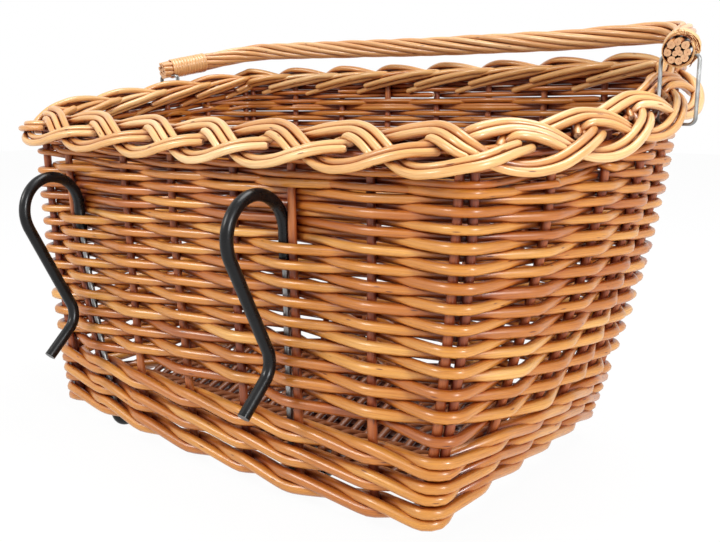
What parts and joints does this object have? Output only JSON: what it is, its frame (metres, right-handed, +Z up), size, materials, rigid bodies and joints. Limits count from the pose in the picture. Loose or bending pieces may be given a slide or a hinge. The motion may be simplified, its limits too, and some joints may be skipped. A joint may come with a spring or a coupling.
{
  "type": "bicycle basket",
  "caption": "Woven wicker basket with a plaited border, a swinging bail handle and sleeved steel hooks that hang it from a handlebar.",
  "frame": {"origin": "centre of the bounding box in plan, on the surface that the two skids stand on", "axes": "+X along the hook side, seen from behind the bicycle's bar; -Y out of the hook side; +Z up"},
  "size_m": [0.4436, 0.3046, 0.2717],
  "materials": {
    "willow_weaver": "varnished buff willow, glossy",
    "willow_stake": "varnished buff willow",
    "willow_border": "varnished buff willow, glossy",
    "willow_base": "varnished buff willow",
    "willow_handle": "varnished buff willow, glossy",
    "cane_lashing": "split cane, satin",
    "link_wire": "dull galvanised wire",
    "hook_steel": "zinc-plated steel, dull",
    "black_sleeve": "smooth black PVC sleeve"
  },
  "bodies": {
    "basket": {"stake_01a": "willow_stake", "stake_01b": "willow_stake", "stake_02": "willow_stake", "stake_03": "willow_stake", "stake_04": "willow_stake", "stake_05": "willow_stake", "stake_06": "willow_stake", "stake_07": "willow_stake", "stake_08a": "willow_stake", "stake_08b": "willow_stake", "stake_09": "willow_stake", "stake_10": "willow_stake", "stake_11": "willow_stake", "stake_12": "willow_stake", "stake_13a": "willow_stake", "stake_13b": "willow_stake", "stake_14": "willow_stake", "stake_15": "willow_stake", "stake_16": "willow_stake", "stake_17": "willow_stake", "stake_18": "willow_stake", "stake_19": "willow_stake", "stake_20": "willow_stake", "stake_21a": "willow_stake", "stake_21b": "willow_stake", "stake_22": "willow_stake", "stake_23": "willow_stake", "stake_24": "willow_stake", "stake_25": "willow_stake", "foot_wale_a": "willow_weaver", "foot_wale_b": "willow_weaver", "foot_wale_c": "willow_weaver", "weaver_1": "willow_weaver", "weaver_2": "willow_weaver", "weaver_3": "willow_weaver", "weaver_4": "willow_weaver", "weaver_5": "willow_weaver", "weaver_6": "willow_weaver", "packing_weaver": "willow_weaver", "base_stick_1": "willow_base", "base_stick_2": "willow_base", "base_stick_3": "willow_base", "base_stick_4": "willow_base", "base_stick_5": "willow_base", "base_stick_6": "willow_base", "base_weaver": "willow_base", "border_strand_a": "willow_border", "border_strand_b": "willow_border", "border_strand_c": "willow_border", "handle_link_left": "link_wire", "handle_link_right": "link_wire", "hook_rod_left": "hook_steel", "hook_rod_right": "hook_steel", "hook_sleeve_left": "black_sleeve", "hook_sleeve_right": "black_sleeve", "foot_sleeve_left": "black_sleeve", "foot_sleeve_right": "black_sleeve"},
    "handle": {"handle_bail": "willow_handle", "handle_lashing_left": "cane_lashing", "handle_lashing_right": "cane_lashing"}
  },
  "joints": [
    {"name": "handle_hinge", "type": "hinge", "parent": "basket", "child": "handle", "pos_m": [0, 0.03824, 0.24573], "axis": [1, 0, 0], "range_deg": [0, 165]}
  ]
}
